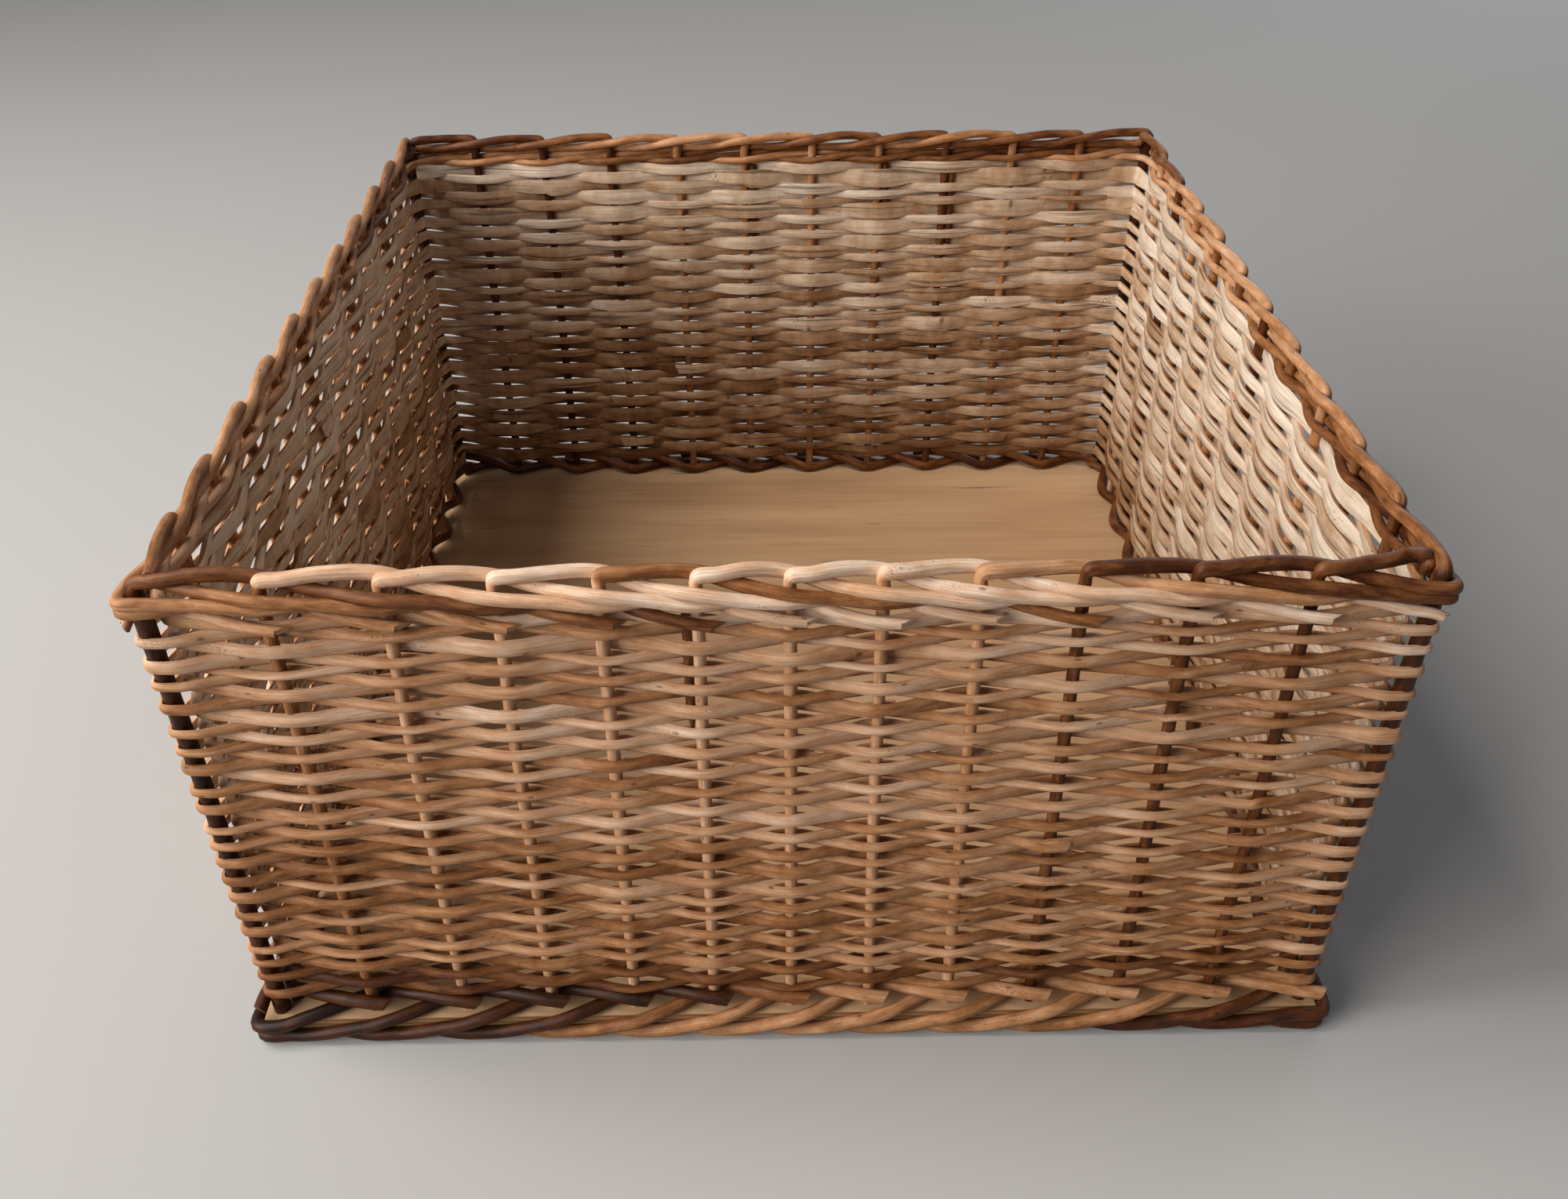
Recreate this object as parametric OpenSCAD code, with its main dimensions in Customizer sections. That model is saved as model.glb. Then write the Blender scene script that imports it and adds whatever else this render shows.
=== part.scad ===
// Square willow storage basket, woven on a drilled plywood base.
//
// Forty-five willow stakes stand in holes round the base board. Below the board each
// stake turns along the wall and comes back up over the board's edge as the foot.
// Above the weave it kinks over and is woven away as the top border. Rows of split
// willow run in front of one stake and behind the next.
//
// Lengths are in millimetres, +Z is up, the basket stands on z = 0 and is centred on
// x = 0, y = 0. The front wall faces -Y. All rods travel from left to right as each
// wall is seen from outside.

/* [Plan] */
// Width between the centres of the corner posts
basket_w = 492; // [300:1:700]
// Depth between the centres of the corner posts
basket_d = 496; // [300:1:700]
// Number of gaps between stakes in the front wall
front_gaps = 12; // [8:1:16]
// Number of gaps between stakes in the rear wall
rear_gaps = 11; // [8:1:16]
// Number of gaps between stakes in each side wall
side_gaps = 11; // [8:1:16]

// How much the front stakes crowd to the wall's middle, as a share of its width
front_crowd = 0.016; // [0:0.002:0.024]

/* [Rods] */
// Diameter of a wall stake
stake_d = 5; // [4:0.1:6]
// Diameter of a corner post
post_d = 7; // [5:0.1:8]
// Diameter of the rods in the foot
foot_d = 5.8; // [4.5:0.1:6.5]
// Diameter of a border rod at its kink
border_d = 4.8; // [3.5:0.1:5]
// Diameter of a border rod at its cut end
border_tip_d = 4; // [3:0.1:4.8]
// Free space left between rods that lie against each other
rod_gap = 0.3; // [0.2:0.1:0.6]

/* [Base board] */
// Thickness of the plywood
board_t = 7; // [4:0.5:10]
// How far the board reaches past the line of stakes
board_lip = 7; // [6:0.5:12]
// Free space round a stake in its hole
hole_gap = 0.2; // [0.1:0.05:0.5]

/* [Weave] */
// Number of woven rows
rows = 40; // [20:1:40]
// Height from one row to the next
row_pitch = 5.6; // [4.5:0.1:7]
// Free height between two rows
row_gap = 0.2; // [0.1:0.1:0.6]
// Thickness of a split weaver
weaver_t = 2.8; // [2:0.1:3.5]
// Length that a weaver lies flat against a stake
weaver_flat = 7; // [4:0.5:10]
// Length of the stakes that double a wall stake
bye_stake_l = 60; // [30:5:180]

/* [Border] */
// Height from one border rod down to the next on the outside
border_step = 5.5; // [5.2:0.1:7]
// How far a border rod runs on past the last stake that it crosses
border_tail = 6; // [3:0.5:10]
// How far a foot rod runs on past the last stake that it crosses
foot_tail = 5; // [3:0.5:10]
// How much wider than a wall stake a rod rounds a corner post on the outside
corner_swing = 1.5; // [1.5:0.05:1.7]

/* [Hidden] */
// round faces on cylinders and flat sides on the bent rods
$fn = 48;
rod_sides = 6;

stake_r = stake_d / 2;
post_r = post_d / 2;
foot_r = foot_d / 2;
border_r = border_d / 2;
border_tip_r = border_tip_d / 2;
weaver_r = weaver_t / 2;

// heights, from the floor up
foot_low = foot_r * cos(180 / rod_sides);           // rods under the board stand on a flat side
board_z0 = 2 * foot_low + rod_gap;
board_z1 = board_z0 + board_t;
foot_over = board_z1 + foot_r + rod_gap;            // rods as they cross the board's edge
foot_high = foot_over + foot_d + rod_gap;           // rods as they come out again
weave_z0 = foot_high + foot_r + rod_gap;
weave_z1 = weave_z0 + rows * row_pitch;
border_low = weave_z1 + border_tip_r + rod_gap;     // the cut ends
kink_z = border_low + 3 * border_step;              // the kinks on top of the stakes
band_h = row_pitch - row_gap;
corner_lap = post_r + 2 * weaver_t;                 // flat end of a weaver at a corner post

// distance from the line of stakes to a rod that lies outside the board
foot_out = board_lip + rod_gap + foot_r;

// the ring of stakes: walls 0 front, 1 right, 2 rear, 3 left, each starting at a corner
wall_gaps = [front_gaps, side_gaps, rear_gaps, side_gaps];
wall_start = [0, front_gaps, front_gaps + side_gaps, front_gaps + side_gaps + rear_gaps];
ring = front_gaps + rear_gaps + 2 * side_gaps;
wall_len = [basket_w, basket_d, basket_w, basket_d];
wall_out = [[0, -1, 0], [1, 0, 0], [0, 1, 0], [-1, 0, 0]];
wall_along = [[1, 0, 0], [0, 1, 0], [-1, 0, 0], [0, -1, 0]];
wall_from = [
    [-basket_w / 2, -basket_d / 2, 0],
    [basket_w / 2, -basket_d / 2, 0],
    [basket_w / 2, basket_d / 2, 0],
    [-basket_w / 2, basket_d / 2, 0],
];

// which side of each stake in turn a border rod passes: 1 outside, -1 inside
border_pass = [0, -1, 1, 1, -1, 1];
// how far it lies below its kink there, in border steps
border_drop = [[0, 0], [0.5, 0.05], [1, 0.72], [1.5, 1.02], [2, 1.15], [2.5, 1.55], [3, 2.08],
    [3.5, 1.92], [4, 2.3], [4.5, 2.85], [5, 3]];
border_at = [0.5, 1, 1.5, 2, 2.5, 3, 3.5, 4, 4.5];

// the foot rod's stations, in gaps from its own stake
foot_at = [0.5, 1, 1.5, 2, 2.25, 2.5, 3, 3.5];

// the stakes that have a second one beside them, counted round the ring
doubled = [floor(front_gaps / 2) - 1, wall_start[2] + 3, wall_start[2] + 4, wall_start[2] + 6];
bye_step = stake_d + rod_gap;

// the weave is one spiral, because the ring has an odd number of stakes: it is counted
// from the rear left corner, where each turn climbs to the next row
weave_start = [side_gaps, side_gaps + front_gaps, 2 * side_gaps + front_gaps, 0];

function row_name(r) = str("weave_row_", r < 10 ? "0" : "", r);

// the wall that place u of the ring lies on
function wall_of(u) = u >= wall_start[3] ? 3 : u >= wall_start[2] ? 2 : u >= wall_start[1] ? 1 : 0;

function wrap(u) = u - ring * floor(u / ring);

function is_corner(u) = let(v = wrap(u)) v == wall_start[wall_of(v)];

function radius_at(g) = is_corner(g) ? post_r : stake_r;

// outward direction at place u; at a corner it is the sum of both walls' directions
function out_at(u) = let(v = wrap(u), w = wall_of(v))
    is_corner(u) ? wall_out[w] + wall_out[(w + 3) % 4] : wall_out[w];

// how far along wall w its gap or stake i lies
function along(w, i) = let(share = i / wall_gaps[w])
    wall_len[w] * (share + (w == 0 ? front_crowd * sin(360 * share) : 0));

// the point at place u of the ring, n outside the line of stakes, at height z
function place(u, n, z) = let(v = wrap(u), w = wall_of(v))
    wall_from[w] + wall_along[w] * along(w, v - wall_start[w]) + out_at(u) * n + [0, 0, z];

// the wall that a rod follows when it comes to stake g, and a point of its cut end there:
// outside the stake and l past it, straight on even where g is a corner post
function wall_to(g) = wall_of(wrap(g - 0.5));

function cut_end(g, r, z, l) = let(w = wall_to(g))
    place(g, 0, z) + wall_out[w] * (radius_at(g) + r + rod_gap) + wall_along[w] * l;

// a rod of radius r passing stake g on side s keeps this far from its centre
function pass_n(g, s, r) = s * (radius_at(g) + r + rod_gap)
    * (s > 0 && is_corner(g) ? corner_swing : 1);

function unit(v) = v / norm(v);

// taper from r0 to r1 over the share t of a rod
function taper(r0, r1, t) = r0 + (r1 - r0) * t;

// border rod of stake g at u gaps from it
// At a stake it lies on one side. Half way to the next it keeps its side or crosses over.
function border_n(g, u, r) = let(
        i = floor(u), j = ceil(u),
        a = pass_n(g + i, border_pass[i], r), b = pass_n(g + j, border_pass[j], r))
    i == j ? a : a * b < 0 ? 0 : (a + b) / 2;

function border_point(g, u) = let(r = taper(border_r, border_tip_r, u / 5))
    place(g + u, border_n(g, u, r), kink_z - border_step * lookup(u, border_drop));

// the border rod: up out of the stake, over the kink, then woven away
function border_path(g) = concat(
    [place(g, 0, kink_z - border_d - 3), place(g, 0, kink_z - border_r),
        place(g, 0, kink_z) + wall_along[wall_of(wrap(g))] * border_r],
    [for (u = border_at) border_point(g, u)],
    [for (l = [0, border_tail]) cut_end(g + 5, border_tip_r, border_low, l)]
);

// the foot rod: sideways under the board, out past its edge, up over it, behind the
// third stake and out in front of the fourth
function foot_n(g, u) = let(behind = pass_n(g + 3, -1, foot_r + 2 * rod_gap))
    lookup(u, [[0, 0], [1, foot_out - 1.2], [1.5, foot_out], [2.25, foot_out],
        [2.5, 0.4 * foot_out], [3, behind], [3.5, 0]]);

function foot_z(u) = lookup(u, [[0, foot_low], [1, foot_low], [1.5, foot_low + 2],
    [2, foot_over - 0.65 * board_t], [2.25, foot_over], [3, foot_over], [3.5, foot_high]]);

function foot_path(g) = concat(
    [place(g, 0, board_z0 + 2), place(g, 0, foot_low)],
    [for (u = foot_at) place(g + u, foot_n(g, u), foot_z(u))],
    [for (l = [0, foot_tail]) cut_end(g + 4, foot_r, foot_high, l)]
);

// One bent rod: rings of rod_sides points square to the path, mitred where it turns.
// path: centre points; side: a direction across the path at each point; radii: one each;
// turn: how far the rings are turned about the path, in sides, so 0 puts flats on the floor
module bent_rod(path, side, radii, turn) {
    last = len(path) - 1;
    rings = [for (i = [0:last]) let(
            t1 = unit(path[max(i, 1)] - path[max(i, 1) - 1]),
            t2 = unit(path[min(i, last - 1) + 1] - path[min(i, last - 1)]),
            t = unit(t1 + t2),
            v = unit(cross(t, side[i])),
            h = cross(v, t),
            bend = t2 - t1,
            b = norm(bend) > 0.001 ? unit(bend) : h,
            mitre = 1 / max(0.5, t * t1) - 1)
        for (k = [0:rod_sides - 1]) let(
            a = 360 * (k + turn) / rod_sides,
            o = radii[i] * (h * cos(a) + v * sin(a)))
        path[i] + o + b * (o * b) * mitre];
    polyhedron(rings, concat(
        [[for (k = [0:rod_sides - 1]) k]],
        [for (i = [0:last - 1], k = [0:rod_sides - 1], half = [0, 1]) let(
                a = i * rod_sides + k, b = i * rod_sides + (k + 1) % rod_sides)
            half == 0 ? [a, a + rod_sides, b] : [b, a + rod_sides, b + rod_sides]],
        [[for (k = [rod_sides - 1:-1:0]) last * rod_sides + k]]
    ));
}

// One stake: a straight upright with its foot rod below and its border rod above
module stake(g) {
    r = radius_at(g);
    out = wall_out[wall_of(wrap(g))];
    foot = foot_path(g);
    border = border_path(g);
    translate(place(g, 0, board_z0))
        cylinder(r = r, h = kink_z - border_d - board_z0);
    bent_rod(foot,
        concat([out, out], [for (u = foot_at) out_at(g + u)],
            [for (end = [0, 1]) wall_out[wall_to(g + 4)]]),
        concat([0.8 * stake_r, 0.9 * foot_r], [for (u = foot_at) foot_r], [foot_r, foot_r]),
        turn = 0);
    bent_rod(border,
        concat([out, out, out], [for (u = border_at) out_at(g + u)],
            [for (end = [0, 1]) wall_out[wall_to(g + 5)]]),
        concat([0.8 * stake_r, border_r, border_r],
            [for (u = border_at) taper(border_r, border_tip_r, u / 5)],
            [border_tip_r, border_tip_r]),
        turn = 0.5);
}

module wall_stakes(w) {
    for (i = [1:wall_gaps[w] - 1])
        stake(wall_start[w] + i);
}

module base_board() {
    color("BurlyWood")
        difference() {
            translate([-basket_w / 2 - board_lip, -basket_d / 2 - board_lip, board_z0])
                cube([basket_w + 2 * board_lip, basket_d + 2 * board_lip, board_t]);
            for (g = [0:ring - 1])
                translate(place(g, 0, board_z0 - 1))
                    cylinder(r = radius_at(g) + hole_gap, h = board_t + 2);
        }
}

module stakes_front() {
    color("Tan") wall_stakes(0);
}

module stakes_right() {
    color("Peru") wall_stakes(1);
}

module stakes_rear() {
    color("Sienna") wall_stakes(2);
}

module stakes_left() {
    color("Peru") wall_stakes(3);
}

module corner_posts() {
    color("SaddleBrown")
        for (w = [0:3])
            stake(wall_start[w]);
}

// short stakes pushed down beside a wall stake where the wall needed filling
module bye_stakes() {
    color("SaddleBrown")
        for (g = doubled)
            translate(place(g, 0, weave_z1 - bye_stake_l) - wall_along[wall_of(g)] * bye_step)
                cylinder(r = stake_r, h = bye_stake_l);
}

// the point of wall w that is s along it and n outside its line of stakes, in plan
function in_plan(w, s, n) = let(p = wall_from[w] + wall_along[w] * s + wall_out[w] * n)
    [p.x, p.y];

// One length of weaver along wall w in row r: a wavy band that lies flat against each
// stake, outside one and inside the next, cut at 45 degrees at both corner posts
module weaver(w, r) {
    last = wall_gaps[w];
    l = wall_len[w];
    n = [for (i = [0:last]) let(side = (weave_start[w] + i + r) % 2 == 0 ? 1 : -1)
        side * (radius_at(wall_start[w] + i) + weaver_r + rod_gap)];
    function lap(i, e) = e * weaver_flat / 2
        - (e < 0 && len(search(wall_start[w] + i, doubled)) > 0 ? bye_step : 0);
    function edge(k) = concat(
        [in_plan(w, rod_gap / 2 - n[0] - k, n[0] + k), in_plan(w, corner_lap, n[0] + k)],
        [for (i = [1:last - 1], e = [-1, 1]) in_plan(w, along(w, i) + lap(i, e), n[i] + k)],
        [in_plan(w, l - corner_lap, n[last] + k),
            in_plan(w, l - rod_gap / 2 + n[last] + k, n[last] + k)]
    );
    inner = edge(-weaver_r);
    linear_extrude(band_h)
        polygon(concat(edge(weaver_r), [for (i = [len(inner) - 1:-1:0]) inner[i]]));
}

module weave_row(r) {
    color(r % 3 == 0 ? "Tan" : r % 3 == 1 ? "BurlyWood" : "Peru")
        translate([0, 0, weave_z0 + (r - 1) * row_pitch + row_gap / 2])
            for (w = [0:3])
                weaver(w, r);
}

base_board();
stakes_front();
stakes_right();
stakes_rear();
stakes_left();
corner_posts();
bye_stakes();
for (r = [1:rows])
    weave_row(r);
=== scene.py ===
# %% [markdown]
# # A square willow basket on a plywood base
#
# The basket is a ring of 45 willow rods that stand in holes round a birch plywood
# board. Each rod turns along the wall below the board and comes up again as the foot.
# Above the weave it kinks over and is woven away as the border. Split willow weavers
# climb round the ring in one long spiral, in front of one stake and behind the next.
#
# The lesson builds each rod and each turn of the weave as a surface worked out with
# numpy: a profile carried along a path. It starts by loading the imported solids, which
# fix every size and place.

# %% Load the frame
import math

import bmesh
import bpy
import numpy as np
from mathutils import Matrix, Vector


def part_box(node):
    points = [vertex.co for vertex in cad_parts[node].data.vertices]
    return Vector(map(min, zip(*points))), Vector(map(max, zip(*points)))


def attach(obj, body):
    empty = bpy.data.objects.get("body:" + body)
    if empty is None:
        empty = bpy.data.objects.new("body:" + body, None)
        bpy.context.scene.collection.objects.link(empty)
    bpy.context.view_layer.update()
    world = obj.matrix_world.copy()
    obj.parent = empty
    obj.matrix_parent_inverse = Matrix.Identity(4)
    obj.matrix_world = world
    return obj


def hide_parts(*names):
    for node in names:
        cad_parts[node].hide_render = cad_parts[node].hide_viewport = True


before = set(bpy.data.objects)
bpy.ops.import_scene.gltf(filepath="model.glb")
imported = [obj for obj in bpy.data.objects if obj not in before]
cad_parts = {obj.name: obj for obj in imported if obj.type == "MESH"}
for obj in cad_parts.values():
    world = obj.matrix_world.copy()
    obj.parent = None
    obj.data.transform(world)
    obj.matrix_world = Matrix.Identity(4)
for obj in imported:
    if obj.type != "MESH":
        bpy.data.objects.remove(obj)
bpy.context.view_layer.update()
MM = 0.001

# %% [markdown]
# ## Sizes
#
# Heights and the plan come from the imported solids. What the solids simplify, such as
# how a willow rod thins from its butt to its tip, is named here in metres.

# %% The plan and the heights
board_low, board_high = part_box("base_board")
ROWS = 40
row_low, row_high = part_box("weave_row_01")
next_row_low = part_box("weave_row_02")[0]

BOARD_LIP = 7 * MM
WIDTH = 2 * (board_high.x - BOARD_LIP)
DEPTH = 2 * (board_high.y - BOARD_LIP)
ROW_PITCH = next_row_low.z - row_low.z
WEAVE_LOW = (row_low.z + row_high.z - ROW_PITCH) / 2
WEAVE_TOP = WEAVE_LOW + ROWS * ROW_PITCH
BORDER_R = 2.75 * MM
KINK_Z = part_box("stakes_front")[1].z - BORDER_R
print(f"plan {WIDTH:.3f} x {DEPTH:.3f}")
print(f"weave {WEAVE_LOW:.4f} to {WEAVE_TOP:.4f}, kinks {KINK_Z:.4f}")

# %% The ring of stakes: walls 0 front, 1 right, 2 rear, 3 left
WALL_GAPS = np.array([12, 11, 11, 11])
WALL_START = np.array([0, 12, 23, 34])
RING = int(WALL_GAPS.sum())
WALL_LENGTH = np.array([WIDTH, DEPTH, WIDTH, DEPTH])
WALL_ALONG = np.array([[1, 0, 0], [0, 1, 0], [-1, 0, 0], [0, -1, 0]], float)
WALL_OUT = np.array([[0, -1, 0], [1, 0, 0], [0, 1, 0], [-1, 0, 0]], float)
WALL_FROM = np.array([[-1, -1, 0], [1, -1, 0], [1, 1, 0], [-1, 1, 0]], float)
WALL_FROM *= [WIDTH / 2, DEPTH / 2, 0]
GAP = (WALL_LENGTH / WALL_GAPS).mean()
STAKE_R, POST_R = 2.5 * MM, 3.5 * MM
LIE = 0.15 * MM  # rods that press together here keep this much air
CROWD_LOW, CROWD_HIGH = 0.016, 0.0235  # how the front stakes crowd to the middle


def is_corner(u):
    """True where place u of the ring is a corner post."""
    return np.isin(np.mod(u, RING), WALL_START)


def round_ring(u, places, values):
    """A value that changes along the ring, in straight lines between the places."""
    return np.interp(np.mod(u, RING), places, values)


def radius_at(g):
    """The radius of stake g at the height of the weave."""
    return np.where(is_corner(g), POST_R, STAKE_R)


def place(u, n, z):
    """Points at places u of the ring, n outside the line of stakes, at heights z.

    The point is the wall's start plus its direction times the share of its length,
    plus n times the outward direction. At a corner that is both walls' directions. In
    the front wall the share x is x + c sin(2 pi x), and c grows with the height.
    """
    u, n, z = np.broadcast_arrays(np.asarray(u, float), n, z)
    v = np.mod(u, RING)
    w = np.searchsorted(WALL_START, v, side="right") - 1
    share = (v - WALL_START[w]) / WALL_GAPS[w]
    rise = np.clip((z - board_high.z) / (KINK_Z - board_high.z), 0, 1)
    crowd = (w == 0) * (CROWD_LOW + (CROWD_HIGH - CROWD_LOW) * rise)
    share = share + crowd * np.sin(2 * np.pi * share)
    points = WALL_FROM[w] + WALL_ALONG[w] * (share * WALL_LENGTH[w])[:, None]
    points += outward(u) * n[:, None]
    points[:, 2] = z
    return points


def outward(u):
    """The outward direction at places u: a wall's own, or the sum of two at a corner."""
    v = np.mod(np.asarray(u, float), RING)
    w = np.searchsorted(WALL_START, v, side="right") - 1
    return WALL_OUT[w] + WALL_OUT[(w + 3) % 4] * is_corner(v)[:, None]


def cut_end(g, n, z, beyond):
    """Points outside stake g, straight on past it even where g is a corner post."""
    w = np.searchsorted(WALL_START, np.mod(g - 0.5, RING), side="right") - 1
    n, z, beyond = np.broadcast_arrays(np.asarray(n, float), z, beyond)
    points = place(np.full(len(n), g), 0.0, z)
    return points + WALL_OUT[w] * n[:, None] + WALL_ALONG[w] * beyond[:, None], WALL_OUT[w]


print("ring of", RING, "stakes, mean gap", round(GAP / MM, 2), "mm")

# %% [markdown]
# ## Curves and sweeps
#
# A willow rod bends smoothly, so a path is a smooth curve through a few points. The
# curve's slope at each point is the mean of the slopes on either side, weighted by the
# other side's length, which keeps it calm where points lie close together, as at a
# kink. A sweep then carries a closed profile along it. Blender's own curves with a
# bevel could do this for round rods, but not for a split weaver, whose section must keep
# its flat side to the inside of the basket all the way.


# %% A smooth curve and smooth chance
def smooth(points, steps):
    """A curve through the points, with so many steps from each to the next.

    Between two points it is the cubic with the points' slopes:
    (2t3-3t2+1) p + (t3-2t2+t) d m + (3t2-2t3) q + (t3-t2) d k, over the distance d.
    Columns past the third, such as directions and radii, are carried along.
    """
    d = np.linalg.norm(np.diff(points[:, :3], axis=0), axis=1)[:, None]
    slope = np.diff(points, axis=0) / d
    inner = (slope[:-1] * d[1:] + slope[1:] * d[:-1]) / (d[1:] + d[:-1])
    m = np.vstack([slope[:1], inner, slope[-1:]])
    t = (np.arange(steps) / steps)[None, :, None]
    p, q, m0, m1, d = points[:-1, None], points[1:, None], m[:-1, None], m[1:, None], d[:, None]
    curve = (
        (2 * t**3 - 3 * t**2 + 1) * p
        + (t**3 - 2 * t**2 + t) * d * m0
        + (3 * t**2 - 2 * t**3) * q
        + (t**3 - t**2) * d * m1
    )
    return np.vstack([curve.reshape(-1, points.shape[1]), points[-1:]])


def wander(x, step, rng):
    """A smooth random curve between -1 and 1 that takes a new value at each step of x."""
    x = (x - x.min()) / step
    knots = rng.uniform(-1, 1, int(x.max()) + 2)
    i = x.astype(int)
    t = x - i
    t = t * t * (3 - 2 * t)
    return knots[i] * (1 - t) + knots[i + 1] * t


def length_along(path):
    """The distance along the path to each of its points."""
    return np.concatenate([[0], np.cumsum(np.linalg.norm(np.diff(path, axis=0), axis=1))])


bend = smooth(np.array([[0.0, 0, 0], [1, 0, 0], [1, 1, 0]]), 8)
print(len(bend), "points round a bend, length", length_along(bend)[-1].round(3))


# %% A profile carried along a path
END_SKIN = 0.4  # an old cut end is part way to the colour of the skin
SLANT_DOWN = 0.6  # how much of a cut's slant goes with the height, against the width
SHARP = math.radians(50)  # edges past this angle, such as a cut end's, stay sharp


def sweep(path, side, across, up, skin, tone, start=0.0, cuts=(0.0, 0.0)):
    """Faces of a closed tube: point k of ring i is path_i + across_ik h_i + up_ik v_i.

    v_i is square to the path and to the side direction, and h_i is square to both. skin
    says for each point of the profile whether it has willow skin (1) or bare wood (0),
    tone how light each ring is. cuts slant the first and last end: a point moves along
    the path by its share of the slant times (across - SLANT_DOWN height). Both ends are
    closed by a fan of bare wood. UV is the distance along and the distance round.
    """
    t = np.gradient(path, axis=0)
    t /= np.linalg.norm(t, axis=1)[:, None]
    v = np.cross(side, t)
    v /= np.linalg.norm(v, axis=1)[:, None]
    h = np.cross(t, v)
    n, k = across.shape
    rings = path[:, None] + across[..., None] * h[:, None] + up[..., None] * v[:, None]
    for end, way in ((0, 1), (-1, -1)):
        height = rings[end, :, 2] - rings[end, :, 2].mean()
        slant = cuts[end] * (across[end] - across[end].mean() - SLANT_DOWN * height)
        rings[end] += way * slant[:, None] * t[end]
    points = np.vstack([rings.reshape(-1, 3), rings[0].mean(0), rings[-1].mean(0)])
    i, j = np.meshgrid(np.arange(n - 1), np.arange(k), indexing="ij")
    i, j = i.ravel(), j.ravel()
    j2 = (j + 1) % k
    quads = np.stack([i * k + j, (i + 1) * k + j, (i + 1) * k + j2, i * k + j2], axis=1)
    r = np.arange(k)
    r2 = (r + 1) % k
    first = np.stack([r, r2, np.full(k, n * k)], axis=1)
    last = np.stack([(n - 1) * k + r2, (n - 1) * k + r, np.full(k, n * k + 1)], axis=1)
    s = start + length_along(path)
    middle = rings[n // 2]
    width = np.linalg.norm(middle - np.roll(middle, -1, axis=0), axis=1).mean()
    uv = np.stack([
        np.stack([s[i], j * width], 1), np.stack([s[i + 1], j * width], 1),
        np.stack([s[i + 1], (j + 1) * width], 1), np.stack([s[i], (j + 1) * width], 1),
    ], axis=1).reshape(-1, 2)
    end_uv = np.tile([[s[0], 0.0]], (3 * k, 1)), np.tile([[s[-1], 0.0]], (3 * k, 1))
    bark = np.stack([skin[j], skin[j], skin[j2], skin[j2]], axis=1).ravel()
    return {
        "points": points,
        "quads": quads,
        "tris": np.vstack([first, last]),
        "uv": np.vstack([uv, *end_uv]),
        "skin": np.concatenate([bark, np.full(6 * k, END_SKIN)]),
        "tone": np.concatenate([np.repeat(tone, k), tone[:1], tone[-1:]]),
    }


# %% Sweeps made into one object
def piece(name, parts, material, node):
    """One object from several sweeps, which rides on the body and replaces its solid.

    The faces with four corners come before those with three, so the values of the
    corners are put in the same order.
    """
    offsets = np.cumsum([0] + [len(p["points"]) for p in parts])
    quads = np.vstack([p["quads"] + o for p, o in zip(parts, offsets)])
    tris = np.vstack([p["tris"] + o for p, o in zip(parts, offsets)])
    split = [4 * len(p["quads"]) for p in parts]
    mesh = bpy.data.meshes.new(name)
    mesh.from_pydata(
        np.vstack([p["points"] for p in parts]).tolist(), [], quads.tolist() + tris.tolist()
    )
    for key in ("uv", "skin"):
        values = np.concatenate(
            [p[key][:c].ravel() for p, c in zip(parts, split)]
            + [p[key][c:].ravel() for p, c in zip(parts, split)]
        )
        if key == "uv":
            mesh.uv_layers.new(name="length").data.foreach_set("uv", values)
        else:
            mesh.attributes.new("skin", "FLOAT", "CORNER").data.foreach_set("value", values)
    tone = np.concatenate([p["tone"] for p in parts])
    mesh.attributes.new("tone", "FLOAT", "POINT").data.foreach_set("value", tone)
    mesh.shade_smooth()
    mesh.set_sharp_from_angle(angle=SHARP)
    mesh.materials.append(material)
    obj = bpy.data.objects.new(name, mesh)
    bpy.context.scene.collection.objects.link(obj)
    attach(obj, "root")
    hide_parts(node)
    return obj


# %% [markdown]
# ## Materials
#
# Buff willow is boiled in its bark and then peeled, which stains it from straw to
# red-brown. Its skin is smooth, with a dull satin shine, fine streaks along the rod and
# a small dark scar where each bud sat. A split rod shows bare pale wood on its flat
# side, with darker torn lines. A picture of willow could be wrapped round each rod, but
# it would repeat and stretch. Here each mark is a pattern over the distance along and
# round the rod, in real millimetres. The tone of each rod is an attribute of its points,
# so one recipe serves them all.


# %% Colours and nodes
IOR = 1.5  # that of wood and of most plain surfaces
DULL = 0.2  # specular level of a dry surface that was never varnished


def srgb(hex_code):
    """A colour from its sRGB hex code to linear: c/12.92, or ((c+0.055)/1.055)^2.4."""
    c = np.array([int(hex_code[i : i + 2], 16) for i in (1, 3, 5)]) / 255
    return (*np.where(c <= 0.04045, c / 12.92, ((c + 0.055) / 1.055) ** 2.4), 1.0)


def add(tree, kind, inputs=None, stops=(), out=0, **settings):
    """Adds a node and returns its output out.

    settings are the node's own. Each of inputs is another node's output, which is
    linked, or a value. stops are a colour ramp's positions and hex codes.
    """
    made = tree.nodes.new(kind)
    for key, value in settings.items():
        setattr(made, key, value)
    for key, value in (inputs or {}).items():
        if isinstance(value, bpy.types.NodeSocket):
            tree.links.new(value, made.inputs[key])
        else:
            made.inputs[key].default_value = value
    for i, (position, code) in enumerate(stops):
        elements = made.color_ramp.elements
        element = elements[i] if i < len(elements) else elements.new(position)
        element.position, element.color = position, srgb(code)
    return made.outputs[out] if made.outputs else made


def new_material(name, roughness):
    """A material with an empty tree but for its shader and output."""
    material = bpy.data.materials.new(name)
    material.use_nodes = True
    tree = material.node_tree
    tree.nodes.clear()
    shader = add(tree, "ShaderNodeBsdfPrincipled",
                 {"Roughness": roughness, "IOR": IOR, "Specular IOR Level": DULL})
    add(tree, "ShaderNodeOutputMaterial", {"Surface": shader})
    return material, tree, shader.node


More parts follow.
